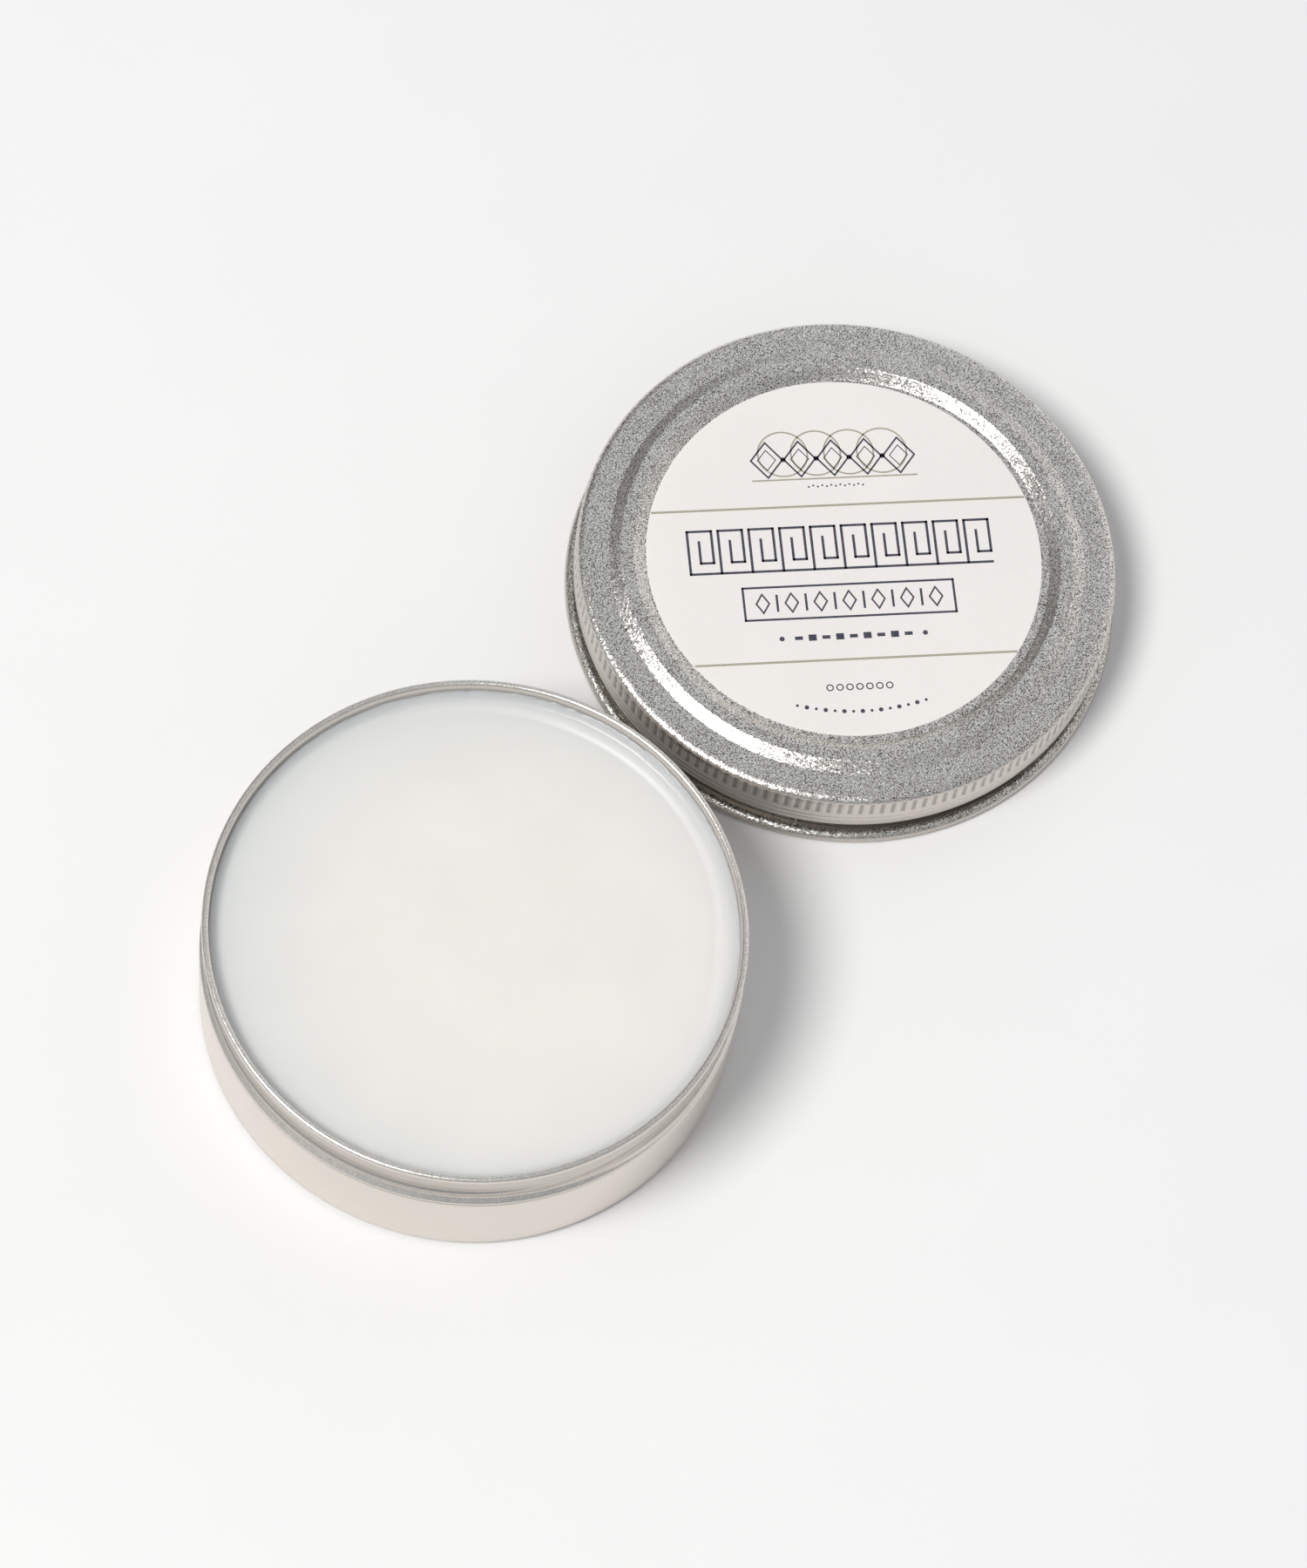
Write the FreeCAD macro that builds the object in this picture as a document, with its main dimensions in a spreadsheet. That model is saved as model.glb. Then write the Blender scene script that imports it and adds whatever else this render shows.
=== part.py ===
import FreeCAD, Part
import os
import Sketcher

# A round screw-top tin of shoe polish, opened, with its lid lying flat beside it, top side up.
# Millimetres.  The origin is the centre of the tin's underside, +Z is up, and +X points from the
# tin's axis to the lid's axis.
#
# tin_body   pressed aluminium cup: flat base, straight wall, stepped-in neck with a rolled thread
#            and a curled rim
# polish     the wax, poured into the cup to a little below the rim
# lid_shell  pressed aluminium lid: recessed round panel, raised ring bead, knurled skirt, thread
#            and a curled hem
# lid_liner  foam sealing disc, loose under the lid's panel
# lid_label  round paper label on the lid's panel

SIZES = [
    # name, value, what it is
    ("sheet_wall", 0.4, "thickness of the pressed aluminium"),
    ("body_radius", 34.0, "outside of the tin's wall"),
    ("base_round", 1.2, "outside radius of the tin's bottom edge"),
    ("shoulder_height", 14.0, "top of the tin's straight wall"),
    ("shoulder_rise", 0.4, "height of the slope from the wall in to the neck"),
    ("neck_step", 0.7, "how far the neck is set in from the wall"),
    ("rim_height", 21.5, "top of the curled rim"),
    ("rim_curl", 0.45, "radius of the rim's rolled edge"),
    ("fill_gap", 2.4, "from the top of the rim down to the polish"),
    ("pitch", 1.8, "rise of the thread in one turn, on the tin and in the lid"),
    ("thread_turns", 1.1, "turns of thread on the tin and in the lid"),
    ("thread_width", 0.9, "height of the thread's ridge where it meets the wall"),
    ("thread_height", 0.75, "how far the tin's thread stands out of the neck"),
    ("thread_start", 14.85, "height of the tin's thread where it begins"),
    ("thread_heading", 225, "where the tin's thread begins, in degrees round from +X"),
    ("thread_engage", 0.15, "how far the lid's thread reaches under the tin's"),
    ("lid_gap", 5.66, "from the tin's wall to the edge of the lid beside it"),
    ("lid_clearance", 1.1, "from the tin's wall out to the inside of the lid's knurled skirt when it is on"),
    ("lid_height", 10.4, "top of the lid's flat shoulder above the hem"),
    ("lid_round", 1.1, "outside radius of the lid's top edge"),
    ("thread_band_top", 4.8, "height where the skirt steps in below the knurls"),
    ("thread_band_step", 0.15, "how far the thread band is set in from the knurled skirt"),
    ("hem_neck_top", 2.7, "height where the skirt steps in again above the hem"),
    ("lid_thread_start", 2.0, "height of the lid's thread where it begins"),
    ("hem_curl", 0.85, "radius of the hem's rolled edge"),
    ("hem_reach", 0.9, "how far the hem stands out past the knurled skirt"),
    ("bead_inset", 4.1, "from the outside of the skirt in to the foot of the bead's outer slope"),
    ("bead_width", 4.8, "width of the bead, from foot to foot"),
    ("bead_crest_width", 1.3, "width of the bead's top"),
    ("bead_height", 0.8, "height of the bead over the lid's flat shoulder"),
    ("panel_depth", 0.3, "depth of the panel below the lid's flat shoulder"),
    ("knurl_count", 160, "knurls around the skirt"),
    ("knurl_depth", 0.15, "depth of a knurl"),
    ("knurl_cutter", 0.45, "radius of the round tool that presses a knurl"),
    ("knurl_base", 7.7, "height of the knurls' lower ends"),
    ("knurl_height", 1.5, "height of the knurls"),
    ("liner_thickness", 1.0, "thickness of the foam liner"),
    ("liner_gap", 0.3, "clearance of the liner to the lid, above it and around it"),
    ("label_margin", 0.6, "bare panel around a label that is stuck on dead centre"),
    ("label_thickness", 0.12, "thickness of the label's paper"),
    ("label_shift_x", -0.05, "how far the label was stuck off the lid's axis, along X"),
    ("label_shift_y", 0.49, "how far the label was stuck off the lid's axis, along Y"),
]

SAME_PLACE = 1e-6  # two edges closer than this are one edge

# Expressions shared by several pieces.
NECK_RADIUS = "Sizes.body_radius - Sizes.neck_step"
NECK_BASE = "Sizes.shoulder_height + Sizes.shoulder_rise"
FILL_HEIGHT = "Sizes.rim_height - Sizes.fill_gap"
LID_RADIUS = "Sizes.body_radius + Sizes.lid_clearance + Sizes.sheet_wall"
LID_DISTANCE = f"Sizes.body_radius + Sizes.lid_gap + {LID_RADIUS} + Sizes.hem_reach"
BAND_RADIUS = f"{LID_RADIUS} - Sizes.thread_band_step"
# The hem curls outward from the inner face of the wall above it.
HEM_CENTRE = f"{LID_RADIUS} + Sizes.hem_reach - Sizes.hem_curl"
HEM_INNER = f"{LID_RADIUS} + Sizes.hem_reach - 2 * Sizes.hem_curl"
BEAD_OUTER = f"{LID_RADIUS} - Sizes.bead_inset"
PANEL_RADIUS = f"{BEAD_OUTER} - Sizes.bead_width"
PANEL_TOP = "Sizes.lid_height - Sizes.panel_depth"
# The liner hangs below the panel's underside, which is the lowest part of the lid's top.
LINER_TOP = PANEL_TOP + " - Sizes.sheet_wall - Sizes.liner_gap"


def add_sheet(doc):
    """The driving sizes, one row each: name, value, note."""
    sheet = doc.addObject("Spreadsheet::Sheet", "Sizes")
    for row, (alias, value, note) in enumerate(SIZES, start=1):
        sheet.set(f"A{row}", alias)
        sheet.set(f"B{row}", str(value))
        sheet.set(f"C{row}", note)
        sheet.setAlias(f"B{row}", alias)
    doc.recompute()
    return sheet


def add_body(doc, label):
    """A sub-part, named for the file it is written to."""
    body = doc.addObject("PartDesign::Body", label)
    body.Label = label
    return body


def origin_part(body, role):
    """One of the body's own origin planes or axes."""
    return next(part for part in body.Origin.OriginFeatures if part.Role == role)


def add_sketch(body, name, role):
    sketch = body.newObject("Sketcher::SketchObject", name)
    sketch.AttachmentSupport = [(origin_part(body, role), "")]
    sketch.MapMode = "FlatFace"
    return sketch


def tie_point(sketch, geometry, point, across, up):
    """Fixes one point of a sketch at a distance across and up from the sketch's origin."""
    vertical_axis, horizontal_axis, origin = -2, -1, (-1, 1)
    for kind, axis, distance in (("DistanceX", vertical_axis, across), ("DistanceY", horizontal_axis, up)):
        if distance == "0":
            sketch.addConstraint(Sketcher.Constraint("PointOnObject", geometry, point, axis))
            continue
        value = float(sketch.evalExpression(distance))
        number = sketch.addConstraint(Sketcher.Constraint(kind, *origin, geometry, point, value))
        sketch.setExpression(f"Constraints[{number}]", distance)


def outline(body, name, corners):
    """A closed outline of straight runs in the XZ plane; each corner is (across, up) from the axis."""
    sketch = add_sketch(body, name, "XZ_Plane")
    spots = [
        FreeCAD.Vector(float(sketch.evalExpression(across)), float(sketch.evalExpression(up)), 0)
        for across, up in corners
    ]
    for number, spot in enumerate(spots):
        following = spots[(number + 1) % len(spots)]
        sketch.addGeometry(Part.LineSegment(spot, following))
    start, end = 1, 2
    for number, (across, up) in enumerate(corners):
        before = (number - 1) % len(corners)
        sketch.addConstraint(Sketcher.Constraint("Coincident", before, end, number, start))
        tie_point(sketch, number, start, across, up)
    return sketch


def ring(body, name, role, across, up, radius):
    """A circle whose centre is (across, up) from the sketch's origin."""
    sketch = add_sketch(body, name, role)
    centre = FreeCAD.Vector(float(sketch.evalExpression(across)), float(sketch.evalExpression(up)), 0)
    size = float(sketch.evalExpression(radius))
    circle = sketch.addGeometry(Part.Circle(centre, FreeCAD.Vector(0, 0, 1), size))
    middle = 3
    tie_point(sketch, circle, middle, across, up)
    number = sketch.addConstraint(Sketcher.Constraint("Radius", circle, size))
    sketch.setExpression(f"Constraints[{number}]", radius)
    return sketch


def revolve(body, name, sketch):
    """Turns an outline once round the sub-part's own axis."""
    turned = body.newObject("PartDesign::Revolution", name)
    turned.Profile = sketch
    turned.ReferenceAxis = (sketch, ["V_Axis"])
    turned.Angle = 360
    return turned


def round_rings(body, name, base, rings, radius):
    """Fillets the circular edges that lie at each (radius, height) in rings."""
    body.Document.recompute()
    spots = [(float(base.evalExpression(r)), float(base.evalExpression(z))) for r, z in rings]
    names = []
    for number, edge in enumerate(base.Shape.Edges, start=1):
        if not isinstance(edge.Curve, Part.Circle):
            continue
        for spot_radius, spot_height in spots:
            off_radius = abs(edge.Curve.Radius - spot_radius)
            off_height = abs(edge.Curve.Center.z - spot_height)
            if max(off_radius, off_height) < SAME_PLACE:
                names.append(f"Edge{number}")
    if len(names) != len(rings):
        raise RuntimeError(f"{name}: {len(names)} edges found for {len(rings)} rings")
    fillet = body.newObject("PartDesign::Fillet", name)
    fillet.Base = (base, names)
    fillet.setExpression("Radius", radius)
    return fillet


def thread(body, name, sketch):
    """A right-hand ridge that follows the shared pitch and number of turns."""
    helix = body.newObject("PartDesign::AdditiveHelix", name)
    helix.Profile = sketch
    helix.ReferenceAxis = (sketch, ["V_Axis"])
    helix.Mode = "pitch-turns-angle"
    helix.setExpression("Pitch", "Sizes.pitch")
    helix.setExpression("Turns", "Sizes.thread_turns")
    helix.LeftHanded = False
    helix.Reversed = False
    return helix


def build_tin_body(doc):
    body = add_body(doc, "tin_body")
    wall = "Sizes.sheet_wall"
    rim_centre = "Sizes.rim_height - Sizes.rim_curl"
    cup = outline(body, "CupOutline", [
        ("0", "0"),
        ("Sizes.body_radius", "0"),
        ("Sizes.body_radius", "Sizes.shoulder_height"),
        (NECK_RADIUS, NECK_BASE),
        (NECK_RADIUS, rim_centre),
        (f"{NECK_RADIUS} - {wall}", rim_centre),
        (f"{NECK_RADIUS} - {wall}", NECK_BASE),
        (f"Sizes.body_radius - {wall}", "Sizes.shoulder_height"),
        (f"Sizes.body_radius - {wall}", wall),
        ("0", wall),
    ])
    cup_solid = revolve(body, "Cup", cup)
    rounded = round_rings(body, "BaseEdge", cup_solid, [("Sizes.body_radius", "0")], "Sizes.base_round")
    round_rings(body, "BaseInside", rounded, [(f"Sizes.body_radius - {wall}", wall)],
                f"Sizes.base_round - {wall}")
    rim = ring(body, "RimRing", "XZ_Plane", f"{NECK_RADIUS} - {wall} + Sizes.rim_curl", rim_centre,
               "Sizes.rim_curl")
    revolve(body, "Rim", rim)
    ridge = outline(body, "ThreadOutline", [
        (f"{NECK_RADIUS} - {wall} / 2", "Sizes.thread_start - Sizes.thread_width / 2"),
        (f"{NECK_RADIUS} + Sizes.thread_height", "Sizes.thread_start"),
        (f"{NECK_RADIUS} - {wall} / 2", "Sizes.thread_start + Sizes.thread_width / 2"),
    ])
    ridge.AttachmentOffset.Rotation.Axis = FreeCAD.Vector(0, 1, 0)
    ridge.setExpression("AttachmentOffset.Rotation.Angle", "Sizes.thread_heading")
    thread(body, "Thread", ridge)
    return body


def build_polish(doc):
    """The wax fills the cup, neck and all, up to its own level surface."""
    body = add_body(doc, "polish")
    wall = "Sizes.sheet_wall"
    filling = outline(body, "FillingOutline", [
        ("0", wall),
        (f"Sizes.body_radius - {wall}", wall),
        (f"Sizes.body_radius - {wall}", "Sizes.shoulder_height"),
        (f"{NECK_RADIUS} - {wall}", NECK_BASE),
        (f"{NECK_RADIUS} - {wall}", FILL_HEIGHT),
        ("0", FILL_HEIGHT),
    ])
    filled = revolve(body, "Filling", filling)
    round_rings(body, "FillingEdge", filled, [(f"Sizes.body_radius - {wall}", wall)],
                f"Sizes.base_round - {wall}")
    return body


def place_on_lid_axis(body):
    body.setExpression("Placement.Base.x", LID_DISTANCE)


def build_lid_shell(doc):
    body = add_body(doc, "lid_shell")
    wall = "Sizes.sheet_wall"
    band_foot = "Sizes.thread_band_top - Sizes.thread_band_step"
    hem_wall = f"{HEM_INNER} + {wall}"
    hem_neck_foot = f"Sizes.hem_neck_top - ({BAND_RADIUS}) + {hem_wall}"
    crest_top = "Sizes.lid_height + Sizes.bead_height"
    crest_outer = f"{BEAD_OUTER} - Sizes.bead_width / 2 + Sizes.bead_crest_width / 2"
    crest_inner = f"{BEAD_OUTER} - Sizes.bead_width / 2 - Sizes.bead_crest_width / 2"
    press = outline(body, "PressOutline", [
        ("0", PANEL_TOP),
        (PANEL_RADIUS, PANEL_TOP),
        (crest_inner, crest_top),
        (crest_outer, crest_top),
        (BEAD_OUTER, "Sizes.lid_height"),
        (LID_RADIUS, "Sizes.lid_height"),
        (LID_RADIUS, "Sizes.thread_band_top"),
        (BAND_RADIUS, band_foot),
        (BAND_RADIUS, "Sizes.hem_neck_top"),
        (hem_wall, hem_neck_foot),
        (hem_wall, "Sizes.hem_curl"),
        (HEM_INNER, "Sizes.hem_curl"),
        (HEM_INNER, hem_neck_foot),
        (f"{BAND_RADIUS} - {wall}", "Sizes.hem_neck_top"),
        (f"{BAND_RADIUS} - {wall}", band_foot),
        (f"{LID_RADIUS} - {wall}", "Sizes.thread_band_top"),
        (f"{LID_RADIUS} - {wall}", f"Sizes.lid_height - {wall}"),
        (BEAD_OUTER, f"Sizes.lid_height - {wall}"),
        (crest_outer, f"{crest_top} - {wall}"),
        (crest_inner, f"{crest_top} - {wall}"),
        (PANEL_RADIUS, f"{PANEL_TOP} - {wall}"),
        ("0", f"{PANEL_TOP} - {wall}"),
    ])
    pressed = revolve(body, "Press", press)
    edge = round_rings(body, "TopEdge", pressed, [(LID_RADIUS, "Sizes.lid_height")], "Sizes.lid_round")
    round_rings(body, "TopInside", edge, [(f"{LID_RADIUS} - {wall}", f"Sizes.lid_height - {wall}")],
                f"Sizes.lid_round - {wall}")
    hem = ring(body, "HemRing", "XZ_Plane", HEM_CENTRE, "Sizes.hem_curl", "Sizes.hem_curl")
    revolve(body, "Hem", hem)
    ridge_crest = f"{NECK_RADIUS} + Sizes.thread_height - Sizes.thread_engage"
    # The ridge is rooted between the band's inner face and the hem neck's outer face.
    ridge_root = f"({hem_wall} + {BAND_RADIUS} - {wall}) / 2"
    ridge = outline(body, "ThreadOutline", [
        (ridge_root, "Sizes.lid_thread_start - Sizes.thread_width / 2"),
        (ridge_root, "Sizes.lid_thread_start + Sizes.thread_width / 2"),
        (ridge_crest, "Sizes.lid_thread_start"),
    ])
    thread(body, "Thread", ridge)
    dent_centre = f"{LID_RADIUS} + Sizes.knurl_cutter - Sizes.knurl_depth"
    dent = ring(body, "KnurlRing", "XY_Plane", dent_centre, "0", "Sizes.knurl_cutter")
    dent.setExpression("AttachmentOffset.Base.z", "Sizes.knurl_base + Sizes.knurl_height")
    knurl = body.newObject("PartDesign::Pocket", "Knurl")
    knurl.Profile = dent
    knurl.setExpression("Length", "Sizes.knurl_height")
    knurls = body.newObject("PartDesign::PolarPattern", "Knurls")
    knurls.Originals = [knurl]
    knurls.Axis = (origin_part(body, "Z_Axis"), [""])
    knurls.Angle = 360
    knurls.setExpression("Occurrences", "Sizes.knurl_count")
    body.Tip = knurls
    place_on_lid_axis(body)
    return body


def add_disc(doc, label, radius, thickness, base_height):
    """A round disc that stands on base_height."""
    body = add_body(doc, label)
    edge = ring(body, "Edge", "XY_Plane", "0", "0", radius)
    edge.setExpression("AttachmentOffset.Base.z", base_height)
    disc = body.newObject("PartDesign::Pad", "Disc")
    disc.Profile = edge
    disc.setExpression("Length", thickness)
    return body


def build_lid_liner(doc):
    radius = f"{LID_RADIUS} - Sizes.sheet_wall - Sizes.liner_gap"
    underside = f"{LINER_TOP} - Sizes.liner_thickness"
    body = add_disc(doc, "lid_liner", radius, "Sizes.liner_thickness", underside)
    place_on_lid_axis(body)
    return body


def build_lid_label(doc):
    radius = f"{PANEL_RADIUS} - Sizes.label_margin"
    body = add_disc(doc, "lid_label", radius, "Sizes.label_thickness", PANEL_TOP)
    body.setExpression("Placement.Base.x", f"{LID_DISTANCE} + Sizes.label_shift_x")
    body.setExpression("Placement.Base.y", "Sizes.label_shift_y")
    return body


def check(doc, bodies):
    """Stops if any feature failed or any sub-part is missing, open or broken."""
    for thing in doc.Objects:
        if "Invalid" in thing.State or "Error" in thing.State:
            raise RuntimeError(f"{thing.Name}: {thing.State}")
    for body in bodies:
        if body.Shape.isNull() or not body.Shape.isValid():
            raise RuntimeError(f"{body.Label}: no valid shape")
        if len(body.Shape.Solids) != 1 or body.Shape.Volume <= 0:
            raise RuntimeError(f"{body.Label}: not one solid")


def main():
    os.makedirs("parts", exist_ok=True)
    doc = FreeCAD.newDocument("polish_tin")
    add_sheet(doc)
    builders = (build_tin_body, build_polish, build_lid_shell, build_lid_liner, build_lid_label)
    bodies = [build(doc) for build in builders]
    doc.recompute()
    check(doc, bodies)
    for body in bodies:
        body.Shape.exportStep(f"parts/{body.Label}.step")
        print(f"{body.Label}: {body.Shape.Volume:.1f} cubic mm")


main()
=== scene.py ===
import math

import bmesh
import bpy
from mathutils import Matrix, Vector, noise


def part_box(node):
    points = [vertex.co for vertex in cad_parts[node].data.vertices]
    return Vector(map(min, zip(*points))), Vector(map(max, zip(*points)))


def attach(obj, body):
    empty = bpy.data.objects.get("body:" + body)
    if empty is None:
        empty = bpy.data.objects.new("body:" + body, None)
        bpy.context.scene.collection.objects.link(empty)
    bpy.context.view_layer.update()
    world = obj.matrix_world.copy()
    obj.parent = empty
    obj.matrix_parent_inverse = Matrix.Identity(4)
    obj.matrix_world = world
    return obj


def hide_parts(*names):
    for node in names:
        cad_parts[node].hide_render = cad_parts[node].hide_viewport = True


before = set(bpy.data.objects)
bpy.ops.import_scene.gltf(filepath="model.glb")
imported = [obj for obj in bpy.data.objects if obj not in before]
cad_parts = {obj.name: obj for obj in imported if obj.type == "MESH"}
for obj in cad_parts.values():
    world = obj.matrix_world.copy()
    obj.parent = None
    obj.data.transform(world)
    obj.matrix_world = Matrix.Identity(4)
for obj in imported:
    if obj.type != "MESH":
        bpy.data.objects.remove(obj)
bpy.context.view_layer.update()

bl_info = {
    "name": "Polish Tin",
    "version": (1, 0, 0),
    "blender": (4, 5, 0),
    "location": "View3D > Sidebar > Polish Tin",
    "description": "Dresses a round screw-top polish tin with its wax, lid, liner and label",
    "category": "Object",
}

MM = 0.001
ROUND_SEGMENTS = 3  # straight runs in each rounded corner of a turned outline
DOUBLINGS = 5  # a turned piece is one wedge, doubled this many times until it closes
SAME_SPOT = 1e-7  # vertices closer than this are one

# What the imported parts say.
CUP_LOW, CUP_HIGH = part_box("tin_body")
WAX_LOW, WAX_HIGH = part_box("polish")
LID_LOW, LID_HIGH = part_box("lid_shell")
LINER_LOW, LINER_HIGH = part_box("lid_liner")
LABEL_LOW, LABEL_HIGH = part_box("lid_label")
SHEET = WAX_LOW.z - CUP_LOW.z  # thickness of the pressed aluminium
BODY_RADIUS = WAX_HIGH.x + SHEET
HEM_RADIUS = (LID_HIGH.x - LID_LOW.x) / 2
LINER_RADIUS = (LINER_HIGH.x - LINER_LOW.x) / 2
LABEL_RADIUS = (LABEL_HIGH.x - LABEL_LOW.x) / 2
LID_CENTRE = Vector(((LID_LOW.x + LID_HIGH.x) / 2, (LID_LOW.y + LID_HIGH.y) / 2, 0))
LABEL_CENTRE = Vector((
    (LABEL_LOW.x + LABEL_HIGH.x) / 2,
    (LABEL_LOW.y + LABEL_HIGH.y) / 2,
    0,
))


# ---- settings ----

def length(name, note, default):
    return bpy.props.FloatProperty(
        name=name, description=note, default=default, min=0, unit="LENGTH", subtype="DISTANCE",
        precision=5,
    )


def angle(name, note, degrees):
    return bpy.props.FloatProperty(
        name=name, description=note, default=math.radians(degrees), unit="ROTATION",
        subtype="ANGLE",
    )


def share(name, note, default, most=1.0):
    return bpy.props.FloatProperty(
        name=name, description=note, default=default, min=0, max=most, subtype="FACTOR",
    )


def colour(name, note, default):
    return bpy.props.FloatVectorProperty(
        name=name, description=note, default=default, min=0, max=1, size=3, subtype="COLOR",
    )


class TinCupSettings(bpy.types.PropertyGroup):
    neck_step: length("Neck step", "How far the neck is set in from the wall", 0.7 * MM)
    base_round: length("Base rounding", "Outside radius of the bottom edge", 1.2 * MM)
    recess: length("Base recess", "How far the middle of the base is off the table", 0.15 * MM)
    foot_width: length("Foot width", "Width of the ring that the tin stands on", 3.2 * MM)
    lip_height: length("Lip height", "Height of the lip that tops the wall", 14.45 * MM)
    lip_groove: length("Lip groove", "Depth of the groove under the lip", 0.16 * MM)
    neck_foot: length("Neck foot", "Height where the neck's straight wall begins", 15.1 * MM)
    rim_curl: length("Rim curl", "Radius of the curled rim", 0.45 * MM)
    thread_start: length("Thread start", "Height of the thread where it begins", 14.95 * MM)
    thread_heading: angle("Thread heading", "Direction in which the thread begins", 225)
    thread_pitch: length("Thread pitch", "Rise of the thread in one turn", 1.8 * MM)
    thread_turns: share("Thread turns", "Turns of thread", 1.1, most=3)
    thread_height: length("Thread height", "How far the thread stands out of the neck", 0.4 * MM)
    thread_width: length("Thread width", "Height of the rolled ridge", 1.1 * MM)
    thread_fade: angle("Thread fade", "Turn over which each end of the thread dies away", 50)


class WaxSettings(bpy.types.PropertyGroup):
    fit: length("Fit", "Gap that keeps the wax off the metal", 0.02 * MM)
    climb: length("Climb", "How far the wax creeps up the wall", 0.6 * MM)
    climb_width: length("Climb width", "Width of the edge that curves up", 1.5 * MM)
    ledge: length("Ledge", "Height of the ledge where the pool set first", 0.34 * MM)
    ledge_width: length("Ledge width", "Width of that ledge", 3.2 * MM)
    ledge_slope: length("Ledge slope", "Width of the slope up to the ledge", 1.3 * MM)
    ledge_heading: angle("Ledge heading", "Direction in which the ledge is highest", -12)
    ragged: length("Raggedness", "Unevenness of the edge on the wall", 0.25 * MM)
    swirl: length("Swirl", "Unevenness of the open surface", 0.02 * MM)
    tint: colour("Wax", "Colour of the wax", (0.80, 0.78, 0.745))
    # Painted shade: the wax is darkened towards the wall, most on one side.
    shaded_wax_tint: colour("Thin wax", "Colour of the wax by the wall", (0.66, 0.68, 0.67))


class LidSettings(bpy.types.PropertyGroup):
    hem_reach: length("Hem reach", "How far the hem stands out past the skirt", 0.9 * MM)
    hem_curl: length("Hem curl", "Radius of the curled hem", 0.85 * MM)
    top_round: length("Top rounding", "Outside radius of the top edge", 1.1 * MM)
    bead_height: length("Bead height", "Height of the bead over the flat shoulder", 0.8 * MM)
    bead_outer: length("Bead outer foot", "Radius of the outer slope's foot", 31.25 * MM)
    bead_inner: length("Bead inner foot", "Radius of the inner slope's foot", 26.6 * MM)
    crest_outer: length("Crest outside", "Outer radius of the bead's flat crest", 29.7 * MM)
    crest_inner: length("Crest inside", "Inner radius of the bead's flat crest", 28.0 * MM)
    knurls: bpy.props.IntProperty(
        name="Knurls", description="Knurls around the skirt", default=160, min=32, step=32,
    )
    knurl_depth: length("Knurl depth", "Depth of a knurl", 0.2 * MM)
    knurl_top: length("Knurl top", "Height of the knurls' upper ends", 9.95 * MM)
    knurl_foot: length("Knurl foot", "Height of the knurls' lower ends", 7.1 * MM)
    tuck: length("Tuck", "How far the skirt is tucked in above the hem", 0.6 * MM)
    tuck_top: length("Tuck top", "Height where the skirt begins to tuck in", 4.15 * MM)
    tuck_foot: length("Tuck foot", "Height where the tuck's slope ends", 3.5 * MM)
    slit: length("Slit", "Height of the bottom of the slit between skirt and hem", 0.95 * MM)
    upper_line: length("Upper line", "Height of the upper fine line on the skirt", 6.0 * MM)
    lower_line: length("Lower line", "Height of the lower fine line on the skirt", 5.1 * MM)
    line_depth: length("Line depth", "Depth of the fine lines", 0.09 * MM)
    thread_start: length("Thread start", "Height of the thread where it begins", 2.4 * MM)
    thread_reach: length("Thread reach", "How far the thread stands inwards", 0.75 * MM)
    thread_fade: angle("Thread fade", "Turn over which each end of the thread dies away", 34.3775)


class LabelSettings(bpy.types.PropertyGroup):
    heading: angle("Heading", "Direction in which the printed rows run", -45.4)
    paper: colour("Paper", "Colour of the paper", (0.83, 0.80, 0.775))
    navy: colour("Navy", "Dark ink", (0.028, 0.032, 0.062))
    gold: colour("Gold", "Pale metallic ink", (0.50, 0.46, 0.36))
    ink_height: length("Ink height", "How far the print stands off the paper", 0.015 * MM)


class MetalSettings(bpy.types.PropertyGroup):
    tint: colour("Aluminium", "Colour of level metal", (0.85, 0.82, 0.765))
    # Painted shade: upright metal gets a darker, warmer colour than level metal.
    upright_shade_tint: colour("Upright aluminium", "Colour of upright metal", (0.80, 0.745, 0.69))
    roughness: share("Roughness", "Roughness of the metal", 0.3)
    grain: length("Grain size", "Size of the metal's frosted grain", 0.25 * MM)
    contrast: share("Grain contrast", "How strong the specks on level metal are", 0.9)
    sparkle: share("Sparkle", "Tilt of the lid's facets on level metal", 0.13)
    rim_sparkle: share("Rim sparkle", "Tilt of the tin's facets on level metal", 0.05)
    wall_sparkle: share("Wall sparkle", "Tilt of the facets on upright metal", 0.006)
    # Painted shade darkens the tin's neck between its foot and the rim curl.
    neck_shade: share("Neck tone", "Brightness of the burnished neck", 0.78)
    # Painted shade in the fine rolled lines and the groove under the tin's lip, and on the lid's
    # skirt above the tuck.
    line_shade: share("Line tone", "Brightness of fine rolled lines", 0.82)
    # Painted shade in the deep groove between the lid's skirt and its hem.
    groove_shade: share("Groove tone", "Brightness of the groove above the hem", 0.3)
    hem_tone: share("Hem tone", "Brightness of the hem", 0.85)
    # Painted shade in the knurls' hollows.
    knurl_shade: share("Knurl tone", "Brightness of the knurls' hollows", 0.58)


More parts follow.
